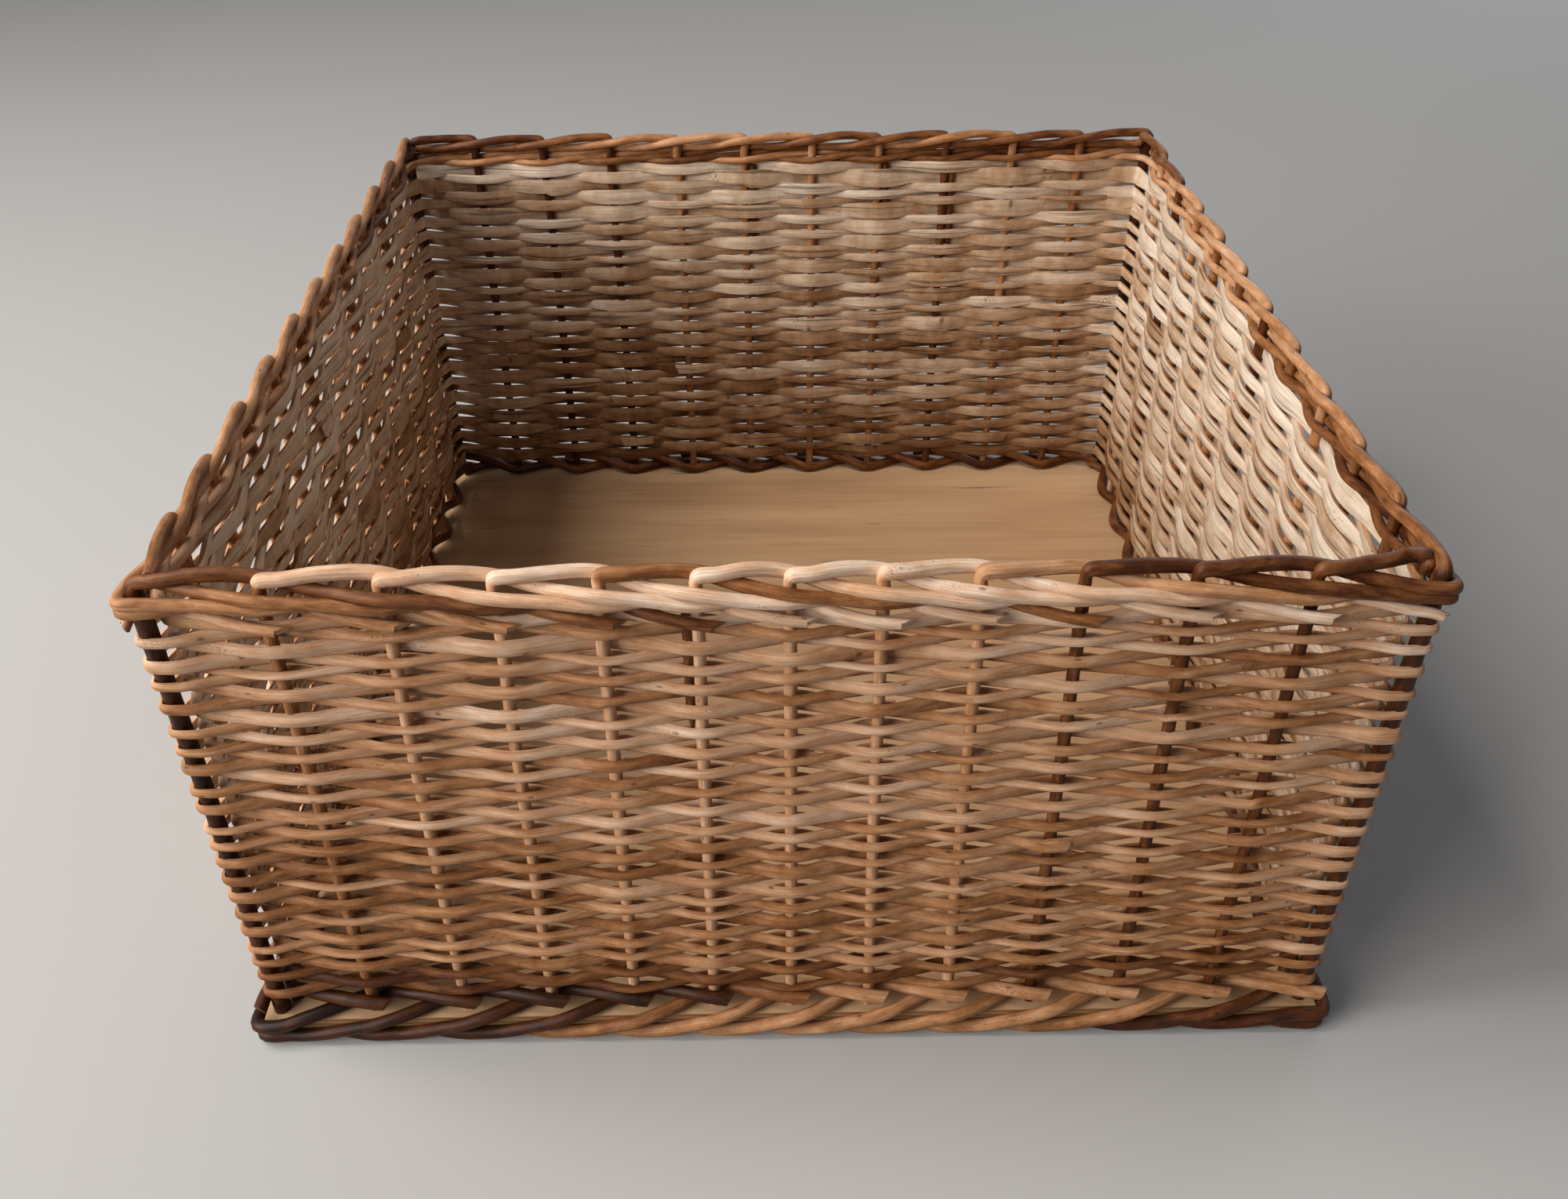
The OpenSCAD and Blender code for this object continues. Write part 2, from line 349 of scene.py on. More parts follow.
print("straw in linear light", [round(float(c), 3) for c in srgb("#eed0ad")])


# %% A bud scar at each step along a rod
SCAR_STEP = 85 * MM  # between bud scars along a rod
SCAR_ROUND = 15 * MM  # the way round a rod
SCAR_CORE, SCAR_RIM = 0.35 * MM, 0.95 * MM  # its radius where it is darkest, and at its edge


def bud_scars(tree, uv):
    """1 on plain skin, down to 0.4 in an eye 2 mm long at a chance place in each step.

    One-dimensional Voronoi cells, a step apart, give the distance along the rod to the
    nearest scar, and the cell's own chance colour gives its place round the rod.
    """
    split = add(tree, "ShaderNodeSeparateXYZ", {0: uv})
    steps = add(tree, "ShaderNodeMath", {0: split, 1: 1 / SCAR_STEP}, operation="MULTIPLY")
    bud = add(tree, "ShaderNodeTexVoronoi", {"W": steps, "Scale": 1.0}, voronoi_dimensions="1D")
    along = add(tree, "ShaderNodeMath", {0: bud, 1: SCAR_STEP * 0.5}, operation="MULTIPLY")
    where = add(tree, "ShaderNodeSeparateColor", {0: bud.node.outputs["Color"]})
    where = add(tree, "ShaderNodeMath", {0: where, 1: SCAR_ROUND}, operation="MULTIPLY")
    around = add(tree, "ShaderNodeMath", {0: split.node.outputs[1], 1: where},
                 operation="SUBTRACT")
    far = add(tree, "ShaderNodeCombineXYZ", {0: along, 1: around})
    far = add(tree, "ShaderNodeVectorMath", {0: far}, out="Value", operation="LENGTH")
    return add(tree, "ShaderNodeMapRange", {0: far, 1: SCAR_CORE, 2: SCAR_RIM, 3: 0.4, 4: 1.0})


# %% Buff willow, peeled, whole or split
# The tone runs from 0, stained dark by the boiled bark, to 1, straw. Split wood is paler.
SKIN = [(0.0, "#261106"), (0.2, "#532a10"), (0.4, "#8c5931"), (0.55, "#b58055"),
        (0.7, "#d0a079"), (0.85, "#e2ba99"), (1.0, "#f0d6be")]
WOOD = [(0.3, "#805b3c"), (0.5, "#ad8967"), (0.7, "#cfb59a"), (0.9, "#e2d1bc")]
# each pattern's marks per metre along and round the rod, and its detail
WILLOW_MARKS = [
    ((70, 200, 0), 3),  # blotches 14 mm by 5 mm
    ((33, 1500, 0), 3),  # streaks 30 mm by 0.7 mm
    ((9, 1100, 0), 1),  # torn lines 110 mm by 0.9 mm
    ((900, 1300, 0), 1),  # specks 1 mm across
    ((45, 120, 0), 1),  # patches of specks, 22 mm by 8 mm
]


def willow(name, roughness):
    """Willow whose colour is the tone's, shifted by blotches and darkened by marks.

    Each pattern is noise over the distance along and round the rod, times its own marks
    per metre. The colour is multiplied by the product of all the marks, and the marks
    are also the height of a fine bump.
    """
    material, tree, shader = new_material(name, roughness)
    uv = add(tree, "ShaderNodeUVMap", uv_map="length")
    tone = add(tree, "ShaderNodeAttribute", out="Fac", attribute_name="tone")
    skin = add(tree, "ShaderNodeAttribute", out="Fac", attribute_name="skin")
    fields = []
    for marks, detail in WILLOW_MARKS:
        at = add(tree, "ShaderNodeVectorMath", {0: uv, 1: marks}, operation="MULTIPLY")
        fields.append(add(tree, "ShaderNodeTexNoise",
                          {"Vector": at, "Scale": 1.0, "Detail": detail, "Roughness": 0.62}))
    blotch, streak, torn, speck, patch = fields

    # blotches shift the tone
    shade = add(tree, "ShaderNodeMath", {0: blotch, 1: 0.62, 2: -0.31},
                operation="MULTIPLY_ADD")
    shade = add(tree, "ShaderNodeMath", {0: tone, 1: shade}, operation="ADD")
    bark = add(tree, "ShaderNodeValToRGB", {0: shade}, SKIN)
    bare = add(tree, "ShaderNodeValToRGB", {0: shade}, WOOD)
    colour = add(tree, "ShaderNodeMix", {0: skin, 6: bare, 7: bark}, out=2, data_type="RGBA")

    # streaks all over, dark torn lines on bare wood only, specks in patches, bud scars
    streaked = add(tree, "ShaderNodeMapRange", {0: streak, 1: 0.3, 2: 0.68, 3: 0.66, 4: 1.1})
    line = add(tree, "ShaderNodeMapRange", {0: torn, 1: 0.62, 2: 0.68, 3: 1.0, 4: 0.45})
    line = add(tree, "ShaderNodeMath", {0: line, 1: skin}, operation="MAXIMUM")
    specks = add(tree, "ShaderNodeMath", {0: speck, 1: patch}, operation="MULTIPLY")
    specks = add(tree, "ShaderNodeMapRange", {0: specks, 1: 0.40, 2: 0.47, 3: 1.0, 4: 0.5})
    dim = bud_scars(tree, uv)
    for mark in (streaked, line, specks):
        dim = add(tree, "ShaderNodeMath", {0: dim, 1: mark}, operation="MULTIPLY")
    colour = add(tree, "ShaderNodeVectorMath", {0: colour, "Scale": dim}, operation="SCALE")
    bump = add(tree, "ShaderNodeBump", {"Height": dim, "Strength": 0.6, "Distance": 0.3 * MM})
    tree.links.new(colour, shader.inputs["Base Color"])
    tree.links.new(bump, shader.inputs["Normal"])
    return material


rod_skin = willow("buff_willow_rod", 0.42)  # peeled skin, worn smooth: a satin shine
weaver_skin = willow("split_buff_willow", 0.5)  # split and not smoothed: duller
for made in (rod_skin, weaver_skin):
    print(made.name, "of", len(made.node_tree.nodes), "nodes")

# %% [markdown]
# ## The willow rods
#
# One rod is the foot, the stake and the border at once. Its path starts at the butt,
# cut off in front of the fourth stake to the right, comes back over the board's edge
# and under the board, rises through its hole, and kinks over on top. From there it runs
# behind one stake, in front of two, behind one and in front of one, and is cut. The
# foot, the uprights and the border could be three rings of rods, but the plait of the
# foot and of the border only lies right when each rod really is one line. So the path
# is given by its few bends, and the sweep does the rest.


# %% The sizes of a rod
FOOT_R = 3.2 * MM
FOOT_LOW = FOOT_R
FOOT_OVER = board_high.z + FOOT_R + LIE
FOOT_HIGH = WEAVE_LOW - FOOT_R - LIE
FOOT_OUT = BOARD_LIP + FOOT_R + LIE
BUTT_R, TOP_R = 2.9 * MM, 2.6 * MM  # an upright over the board and at the border
ROD_SIDES = 12
BORDER_STEP = 5.5 * MM
PRESSED = 0.84  # the border's rods dent the stakes they are pulled against
BORDER_SIDE = np.array([0, -1, 1, 1, -1])  # 1 in front of the stake, -1 behind it
BORDER_AT = np.array([0.5, 1, 1.5, 2, 2.5, 3, 3.5, 4])
BORDER_DROP = np.array([-0.08, 0.32, 0.98, 1.2, 1.6, 2.0, 2.05, 2.4])
BORDER_THICK = 1.1, 0.84  # just past the kink and at the tip, in border radii
print("foot", FOOT_LOW / MM, "to", round(FOOT_HIGH / MM, 2), "mm, and", FOOT_OUT / MM, "mm out")


def slim(u):
    """1 over the front wall, less over the others, whose border is of finer rods."""
    return round_ring(u, [0, 0.5, 11.6, 12.4, 44.3, RING], [1, 1, 1, 0.88, 0.88, 1])


def beside(g, side, r):
    """How far out a rod of radius r lies where it passes stake g on that side."""
    return side * (radius_at(g) + r + LIE)


# %% Round a corner post
def bend_at_corners(u, n, z, r):
    """Adds places 1.4 radii before and after each corner post that a path passes."""
    for corner in (*WALL_START, *(WALL_START + RING)):
        if u.min() + 0.3 < corner < u.max() - 0.2:
            new_u = corner + np.array([-1.4, 1.4]) * r / GAP
            order = np.argsort(u)
            new_z = np.interp(new_u, u[order], z[order])
            at = np.interp([corner, corner], u[order], n[order])
            n = np.where(u == corner, n * 0.9, n)
            u, n, z = (np.concatenate(pair) for pair in ((u, new_u), (n, at), (z, new_z)))
    order = np.argsort(u)
    return u[order], n[order], z[order]


# %% The foot's path
# Where the foot's line bends, in gaps past its own stake.
FOOT_AT = np.array([0.05, 0.2, 0.5, 1, 1.25, 1.5, 1.75, 2, 2.25, 2.5, 2.75, 3, 3.5])


def foot_line(g):
    """Control points and outward directions of the foot, from its cut end to the knee.

    It lies on the floor from its hole to the first stake and comes out past the board's
    edge. It climbs on to the board between the second stake and the third, passes behind
    the third, and ends in front of the fourth.
    """
    behind, before = beside(g + 3, -1, FOOT_R), beside(g + 4, 1, FOOT_R)
    n = np.interp(FOOT_AT, [0, 1, 1.5, 2, 2.25, 2.5, 2.75, 3, 3.5],
                  [0, FOOT_OUT - 1.2 * MM, FOOT_OUT, FOOT_OUT, 0.85 * FOOT_OUT,
                   0.45 * FOOT_OUT, 0.2 * behind, behind, 0])
    z = np.interp(FOOT_AT, [0, 1, 1.25, 1.5, 2, 2.25, 2.5, 3, 3.5],
                  [FOOT_LOW, FOOT_LOW, FOOT_LOW + 0.8 * MM, FOOT_LOW + 2.8 * MM,
                   FOOT_OVER - 4.3 * MM, FOOT_OVER - 1.4 * MM, FOOT_OVER, FOOT_OVER,
                   FOOT_HIGH])
    z[0] += 1.0 * MM
    u, n, z = bend_at_corners(g + FOOT_AT, n, z, FOOT_R)
    out, direction = cut_end(g + 4, [before, 0.9 * before], FOOT_HIGH + np.array([0, 0.8]) * MM,
                             np.array([8, 0]) * MM)
    points = np.vstack([out, place(u, n, z)[::-1], place([g], 0.0, FOOT_LOW + 3 * MM)])
    sides = np.vstack([np.tile(direction, (2, 1)), outward(u)[::-1], outward([g])])
    return points, sides


# %% The border's path
# The tip's last four points: out, in shares of where it lies on the stake, and up.
TIP_OUT = np.array([0.22, 0.72, 1.0, 1.04])
TIP_UP = np.array([2.9, 1.6, 0.2, -0.6]) * MM


def border_line(g, rng):
    """Points, outward directions and fineness of the border, from the kink to the tip.

    The rod sinks by BORDER_DROP steps as the rods of the next stakes come over it. Its
    tip lies on the outside of the weave, further out where the top turn passes there.
    """
    i, j = np.floor(BORDER_AT).astype(int), np.ceil(BORDER_AT).astype(int)
    fine = slim(g + BORDER_AT)
    a, b = (PRESSED * fine**2 * beside(g + k, BORDER_SIDE[k], BORDER_R * fine) for k in (i, j))
    n = np.where(i == j, a, np.where(a * b < 0, 0, (a + b) / 2))
    drop = BORDER_DROP * (2 - fine) + rng.normal(0, 0.07, len(n))
    u, n, z = bend_at_corners(g + BORDER_AT, n, KINK_Z - BORDER_STEP * drop, BORDER_R)
    covered = np.mod(g + 5 - WALL_START[3], RING) % 2 == 0
    lie = (7.0 if covered else 5.2) * MM + radius_at(g + 5) - STAKE_R
    beyond = rng.uniform(5, 8) * (0.35 if is_corner(g + 5) else 1.0) * MM
    tip_s = np.array([-0.5 * GAP, -0.25 * GAP, 0, beyond])
    out, direction = cut_end(g + 5, TIP_OUT * lie, WEAVE_TOP + TIP_UP, tip_s)
    points = np.vstack([place(u, n, z), out])
    sides = np.vstack([outward(u), np.tile(direction, (len(out), 1))])
    return points, sides, slim(np.concatenate([u, np.full(len(out), g + 5)]))


# %% The whole rod
# The kink's three points: along the wall, up from the top, and radius in border radii.
KINK_AT = np.array([[0.9], [3.2], [7]]) * MM
KINK_UP = np.array([-0.5, 0.1, 0.3]) * MM
KINK_THICK = np.array([1.14, 1.15, 1.12])


def willow_rod(g, tones, rng):
    """One rod as a sweep. tones are those of its foot, its upright and its border."""
    thick = POST_R / STAKE_R if is_corner(g) else 1.0
    foot, foot_side = foot_line(g)
    border, border_side, fine = border_line(g, rng)
    top = KINK_Z + rng.uniform(-0.8, 0.6) * MM
    z = np.array([board_low.z + 3 * MM, board_high.z, 60 * MM, 130 * MM, 200 * MM,
                  WEAVE_TOP, top - 6 * MM, top - 2.6 * MM])
    lean = rng.normal(0, 0.2 * MM, len(z)) * (z > board_high.z)
    stake = place(g + lean / GAP, 0.0, z)
    w = np.searchsorted(WALL_START, g, side="right") - 1
    kink = place([g] * 3, 0.0, top + KINK_UP) + WALL_ALONG[w] * KINK_AT
    side = np.tile(WALL_OUT[w].astype(float), (len(z) + 3, 1))
    sides = np.vstack([foot_side, side, border_side])
    thickness = np.concatenate([
        np.full(len(foot) - 1, FOOT_R), [0.97 * FOOT_R],
        np.linspace(BUTT_R, TOP_R, len(z)) * thick,
        KINK_THICK * BORDER_R * slim(g),
        np.linspace(*BORDER_THICK, len(border)) * BORDER_R * fine,
    ])
    part = np.repeat([0, 1, 2], [len(foot), len(z), 3 + len(border)])
    control = np.column_stack([np.vstack([foot, stake, kink, border]), sides, thickness,
                               np.array(tones)[part]])
    curve = smooth(control, 5)
    s = length_along(curve[:, :3])
    r = curve[:, 6] * (1 + 0.06 * wander(s, 25 * MM, rng))
    angle = 2 * np.pi * (np.arange(ROD_SIDES) + 0.5) / ROD_SIDES
    tone = np.clip(curve[:, 7] + 0.08 * wander(s, 70 * MM, rng), 0, 1)
    return sweep(curve[:, :3], curve[:, 3:6], r[:, None] * np.cos(angle),
                 r[:, None] * np.sin(angle), np.ones(ROD_SIDES), tone, start=3.7 * g,
                 cuts=(0.4, 1.4))


# %% How light each rod is
# The tones are a foot's, a stake's and a border's, from 0, dark brown, to 1, straw.
chance = np.random.default_rng(7)
foot_tone = 0.28 + chance.normal(0, 0.05, RING)
stake_tone = 0.5 + chance.normal(0, 0.1, RING)
border_tone = 0.56 + chance.normal(0, 0.1, RING)
# stake 1 lies behind the weave: its lower tone is painted shade
stake_tone[0:12] = [0.12, 0.44, 0.7, 0.72, 0.7, 0.72, 0.66, 0.68, 0.62, 0.2, 0.16, 0.22]
stake_tone[12:23] = np.where(np.arange(11) % 4 == 1, 0.25, stake_tone[12:23])
stake_tone[23:34] = [0.12, 0.4, 0.5, 0.25, 0.5, 0.55, 0.5, 0.55, 0.2, 0.12, 0.12]
stake_tone[[12, 34]] = 0.12
border_tone[0:12] = [0.28, 0.8, 0.84, 0.88, 0.36, 0.84, 0.86, 0.84, 0.6, 0.24, 0.2, 0.28]
border_tone[12:23] = [0.34, 0.45, 0.6, 0.66, 0.62, 0.7, 0.6, 0.64, 0.6, 0.34, 0.28]
border_tone[23:34] = [0.26, 0.36, 0.5, 0.32, 0.36, 0.56, 0.6, 0.52, 0.34, 0.24, 0.2]
# the left wall's border is a little lighter as painted light, where the window lights its
# outside
border_tone[34:45] = [0.44, 0.42, 0.56, 0.62, 0.66, 0.66, 0.62, 0.66, 0.5, 0.46, 0.42]
foot_tone[0:12] = [0.1, 0.12, 0.4, 0.52, 0.58, 0.6, 0.56, 0.56, 0.5, 0.18, 0.12, 0.14]
foot_tone[41:45] = [0.16, 0.1, 0.08, 0.08]
print("stakes from", stake_tone.min().round(2), "to", stake_tone.max().round(2))

# %% The rods of each wall and the corner posts
rods = [
    willow_rod(g, (foot_tone[g], stake_tone[g], border_tone[g]), np.random.default_rng(100 + g))
    for g in range(RING)
]
wall_names = ("front", "right", "rear", "left")
for w, wall in enumerate(wall_names):
    own = range(WALL_START[w] + 1, WALL_START[w] + WALL_GAPS[w])
    made = piece(f"rods_{wall}", [rods[g] for g in own], rod_skin, f"stakes_{wall}")
    print(made.name, len(made.data.polygons), "faces")
made = piece("rods_corner", [rods[g] for g in WALL_START], rod_skin, "corner_posts")
print(made.name, len(made.data.polygons), "faces")

# %% [markdown]
# ## The short stakes beside four of the others
#
# Where a wall needed filling, a short rod was pushed down beside a stake. It has a
# pointed lower end and is cut level at the top of the weave. It is a sweep along a
# straight line, with the point in its radii, so that its skin is that of the other rods.


# %% Bye-stakes
BYE_PLACES = (5, 26, 27, 29)
BYE_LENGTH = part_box("bye_stakes")[1].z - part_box("bye_stakes")[0].z
BYE_POINT = 15 * MM  # its lower end, where the stations lie closer
BYE_TONE = 0.22


def bye_stake(g, rng):
    """A straight rod whose radius grows from 0.5 to 2.3 mm over its lowest 12 mm."""
    s = np.concatenate([np.linspace(0, BYE_POINT, 6), np.linspace(25 * MM, BYE_LENGTH, 12)])
    z = WEAVE_TOP - BYE_LENGTH + s
    beside_stake = (2 * STAKE_R + LIE) / GAP
    path = place(g - beside_stake + 0.3 * MM / GAP * wander(s, 30 * MM, rng), 0.0, z)
    r = np.interp(s, [0, 12 * MM, BYE_LENGTH], [0.5 * MM, 2.3 * MM, 2.2 * MM])
    angle = 2 * np.pi * np.arange(ROD_SIDES) / ROD_SIDES
    side = np.repeat(outward([g + 0.5]), len(s), axis=0)
    return sweep(path, side, r[:, None] * np.cos(angle), r[:, None] * np.sin(angle),
                 np.ones(ROD_SIDES), np.full(len(s), BYE_TONE), start=300 + g)


parts = [bye_stake(g, np.random.default_rng(300 + g)) for g in BYE_PLACES]
made = piece("rods_bye", parts, rod_skin, "bye_stakes")
print(made.name, len(made.data.polygons), "faces")

# %% [markdown]
# ## The weave
#
# Forty turns of split willow are one spiral, because the ring has an odd number of
# stakes: each turn passes every stake on the other side from the turn below. A weaver
# is half a rod. Its round skin side lies outwards and its flat split side inwards. The
# turns press on each other, so a thick stretch of one makes its neighbours wander. At
# the rear left corner each turn climbs to the next height.
#
# One turn could be modelled and copied forty times, but then no two stretches would
# press on each other, and the eye finds the copies at once. Here the whole spiral is one
# line of stations with its heights, widths and tones as arrays, cut into turns at last.

# %% The spiral's line
TURNS = np.arange(ROWS * RING + 1)  # one station at every stake of every turn
WEAVER_T = 2.9 * MM
SPIRAL_FROM = WALL_START[3]
SPIRAL_STEPS = 6
FIRM = 0.84  # on the side and rear walls the weavers are pulled closer to the stakes
# Round a corner post: how far the line lies out at it, where it bends, how far out there.
# The first of each pair is for a turn that passes outside, the second inside.
POST_OUT, POST_NEAR, POST_NEAR_OUT = (0.69, 1.05), (0.085, 0.24), (0.97, 0.62)


def spiral():
    """Stations of the whole spiral: path, outward direction, turn.

    At every stake the line lies outside or inside by the stake's radius and half a
    weaver, by turns, and it crosses the line of stakes half way. Round a corner post it
    keeps its side from just before the post to just after it.
    """
    side = np.where(TURNS % 2 == 1, 1, -1)
    g = SPIRAL_FROM + TURNS
    firm = round_ring(g, [0, 1, 11, 13, 43, RING], [1, 1, 1, FIRM, FIRM, 1])
    off = firm * (radius_at(g) + WEAVER_T / 2)
    post = is_corner(g)
    stake_n = side * off * np.where(post, np.where(side > 0, *POST_OUT), 1)
    near = np.where(side > 0, *POST_NEAR)[post]
    near_n = np.where(side > 0, *POST_NEAR_OUT)[post] * (side * off)[post]
    t = np.concatenate([TURNS, TURNS[:-1] + 0.5, TURNS[post] - near, TURNS[post] + near])
    n = np.concatenate([stake_n, np.zeros(len(TURNS) - 1), near_n, near_n])
    keep = (t >= 0) & (t <= TURNS[-1])
    order = np.argsort(t[keep])
    t, n = t[keep][order], n[keep][order]
    # a turn keeps its height and climbs to the next over the two gaps at the corner
    seam = np.clip(np.round(t / RING), 1, ROWS - 1)
    step = np.clip((t - RING * seam + 1) / 2, 0, 1)
    level = seam - 0.5 + step * step * (3 - 2 * step)
    z = WEAVE_LOW + ROW_PITCH * level
    control = np.column_stack([place(SPIRAL_FROM + t, n, z), outward(SPIRAL_FROM + t), t])
    return smooth(control, SPIRAL_STEPS)


curve = spiral()
turn_t = curve[:, 6]
ring_u = SPIRAL_FROM + turn_t
print("stations", len(curve))

# %% Lengths of weaver, each with its own tone and taper
SHORTEST, LONGEST = 26, 46  # gaps that one length of weaver spans
MEAN_LENGTH = (SHORTEST + LONGEST) / 2
chance = np.random.default_rng(11)
ends = [0]
while ends[-1] < ROWS * RING:
    ends.append(ends[-1] + chance.integers(SHORTEST, LONGEST))
ends = np.array(ends)
which = np.searchsorted(ends, turn_t, side="right") - 1
share = (turn_t - ends[which]) / MEAN_LENGTH
length_tone = np.clip(chance.normal(0.69, 0.07, len(ends)), 0.4, 0.9)
tone = length_tone[which] + 0.12 * (share - 0.5) + 0.14 * wander(turn_t, 1.3, chance)
# painted light and shade in the tone: the lower turns are darker and browner towards the
# bottom, and the rear wall's too, as painted shade; the right wall's, which the window lights,
# are paler as painted light, and so a little are the shaded left wall's; the front wall's ends
# are a little darker
tone -= 0.23 * (1 - turn_t / turn_t[-1]) ** 2
tone += round_ring(ring_u, [0, 3, 8, 11, 12, 22, 24, 32, 34, 45],
                   [-0.04, 0, 0, -0.06, 0.08, 0.08, -0.06, -0.06, 0.06, 0.02])
tone = np.clip(tone, 0, 1)
print(len(ends), "lengths of weaver, tones", tone.min().round(2), "to", tone.max().round(2))

# %% How thick the weaver is, and how it rolls
thin = WEAVER_T * (1 + 0.1 * wander(turn_t, 2.3, chance))
nearest = np.round(turn_t)
outer_corner = 1 - np.abs(turn_t - nearest) / 0.15
outer_corner *= is_corner(SPIRAL_FROM + nearest) * (nearest % 2 == 1)
thin *= 1 - 0.36 * np.clip(outer_corner, 0, 1)  # pressed flat where it bends round a post
roll = math.radians(10) * wander(turn_t, 2.9, chance)
print("thickness", (thin.min() / MM).round(2), "to", (thin.max() / MM).round(2), "mm")

# %% Each turn's upper edge above its even height, and so the height of the turns
last_turn = (turn_t - (ROWS - 1) * RING) / RING
edge = 1.6 * wander(turn_t, 2.9, chance) + 1.0 * wander(turn_t, 9.7, chance)
edge += chance.uniform(0.4, 2.4, len(ends))[which] * (0.5 - share)
# over the last turn the edge evens out and lies 1.6 mm higher
edge = edge * MM * np.clip(1 - last_turn, 0.2, 1) + 1.6 * MM * np.clip(last_turn * 12, 0, 1)
# a turn's lower edge is the upper edge of the turn below it, one ring earlier
below = np.interp(turn_t - RING, turn_t, edge) * (turn_t > RING)
curve[:, 2] += (edge + below) / 2
tall = np.clip(ROW_PITCH + edge - below + 0.3 * MM, 3.2 * MM, 9 * MM)
print("edges up to", (np.abs(edge).max() / MM).round(2), "mm off their even height")

# %% Wider over the stakes, where there is room between a turn and the next but one
# The weave is more open at the ends of the front wall, and finer over its stakes.
inside = np.cos(math.pi * turn_t)  # 1 where the weaver lies inside a stake, -1 outside
front = round_ring(ring_u, [0, 1, 11, 12, 44, 45], [1, 1, 1, 0, 0, 1])
tall *= round_ring(ring_u, [0, 2, 8.5, 10, 12, 12.4, 44.6, 45],
                   [0.92, 1, 1, 0.83, 0.83, 1, 1, 0.92])
over_inside, over_outside = np.clip(1.3 * inside, 0, 1), np.clip(-1.5 * inside, 0, 1)
tall *= 1 + 0.34 * over_inside + (0.2 - 0.37 * front) * over_outside
print("weaver height", (tall.min() / MM).round(2), "to", (tall.max() / MM).round(2), "mm")


# %% The section of a split weaver
FLAT, FLAT_REACH = -0.56, 0.46  # the flat face's place in thicknesses, reach in heights


def split_section(tall, thin, roll):
    """Half a rod's outline: an arc of skin, then a flat face with eased edges.

    The arc is (t (cos^0.8 a - 1/2), h/2 sin a) for a from -90 to 90 degrees. The rings
    are turned by roll about the path.
    """
    a = np.radians(np.linspace(-90, 90, 9))
    x = np.concatenate([np.cos(a) ** 0.8 - 0.5, [FLAT, FLAT, FLAT]])
    y = np.concatenate([np.sin(a) / 2, [FLAT_REACH, 0.0, -FLAT_REACH]])
    x, y = thin[:, None] * x, tall[:, None] * y
    c, s = np.cos(roll)[:, None], np.sin(roll)[:, None]
    return x * c - y * s, x * s + y * c


SECTION_SKIN = np.array([1.0] * 9 + [0.0] * 3)
across, up = split_section(tall, thin, roll)
s_along = length_along(curve[:, :3])
print(round(s_along[-1], 1), "metres of weaver")


# %% A length's cut end, which lies over the start of the next length
def tail(end, rng):
    """A short stretch of the spiral, moved out or in by up to 0.85 of its thickness.

    It leaves the line 0.4 of a gap before the end, runs on for up to a third of a gap
    past the stake, and is thinner than the weaver, as a rod is towards its tip.
    """
    a, b = end - 0.4, end + rng.uniform(0.16, 0.34)
    pick = (turn_t >= a) & (turn_t <= b)
    line = curve[pick]
    away = np.interp(line[:, 6], [a, end - 0.15, b], [0, 0.75, 0.85]) * (1 if end % 2 else -1)
    normal = line[:, 3:6] / np.linalg.norm(line[:, 3:6], axis=1)[:, None]
    path = line[:, :3] + normal * (away * WEAVER_T)[:, None]
    section = split_section(tall[pick] * 0.9, thin[pick] * 0.7, roll[pick])
    shade = np.full(len(line), length_tone[np.searchsorted(ends, end) - 1])
    return sweep(path, normal, *section, SECTION_SKIN, shade, start=900.0 + end, cuts=(0, 0.5))


tail_ends = ends[::2]  # every other end shows, the rest lie hidden behind a stake
print(len(tail_ends), "cut ends")

# %% Cut the spiral into its forty turns
for row in range(1, ROWS + 1):
    first, last = RING * (row - 1), RING * row
    pick = (turn_t >= first) & (turn_t <= last)
    body = sweep(curve[pick, :3], curve[pick, 3:6], across[pick], up[pick], SECTION_SKIN,
                 tone[pick], start=s_along[pick][0])
    extra = [tail(e, np.random.default_rng(500 + e)) for e in tail_ends
             if first + 1 < e < last - 1]
    made = piece(f"weaver_{row:02d}", [body, *extra], weaver_skin, f"weave_row_{row:02d}")
print("turns", row, "faces in each about", len(made.data.polygons))

# %% [markdown]
# ## The base board
#
# The board is birch plywood, cut square and drilled near its edge. Its face veneer is
# honey-coloured with long fine grain across the basket and a few dark mineral streaks.
# Its edge shows the plies as stripes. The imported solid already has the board's shape and
# its 45 holes, and a board built anew could only miss them. So a copy of it is merged,
# its edges are eased with a bevel, and the grain is in the material, over Object
# coordinates, which run with the board's sides.


# %% Birch plywood
PLY = 1.4 * MM
VENEER = [(0.3, "#9f7b58"), (0.45, "#b8936e"), (0.58, "#c5a17b"), (0.75, "#d0b18e")]
PLIES = [(0.0, "#86633f"), (0.45, "#9c7551"), (0.55, "#aa845d"), (1.0, "#b28d66")]
# each pattern's marks per metre, its detail, and how bent its lines are
PLY_MARKS = [
    ((8, 620, 200), 5, 0.6),  # grain lines 1.6 mm apart and 120 mm long
    ((3, 26, 1), 3, 0.4),  # broad bands 38 mm wide
    ((9, 130, 1), 2, 0.8),  # mineral streaks 8 mm by 110 mm
    ((60, 900, 1), 1, 0.2),  # pores 1 mm by 17 mm
]


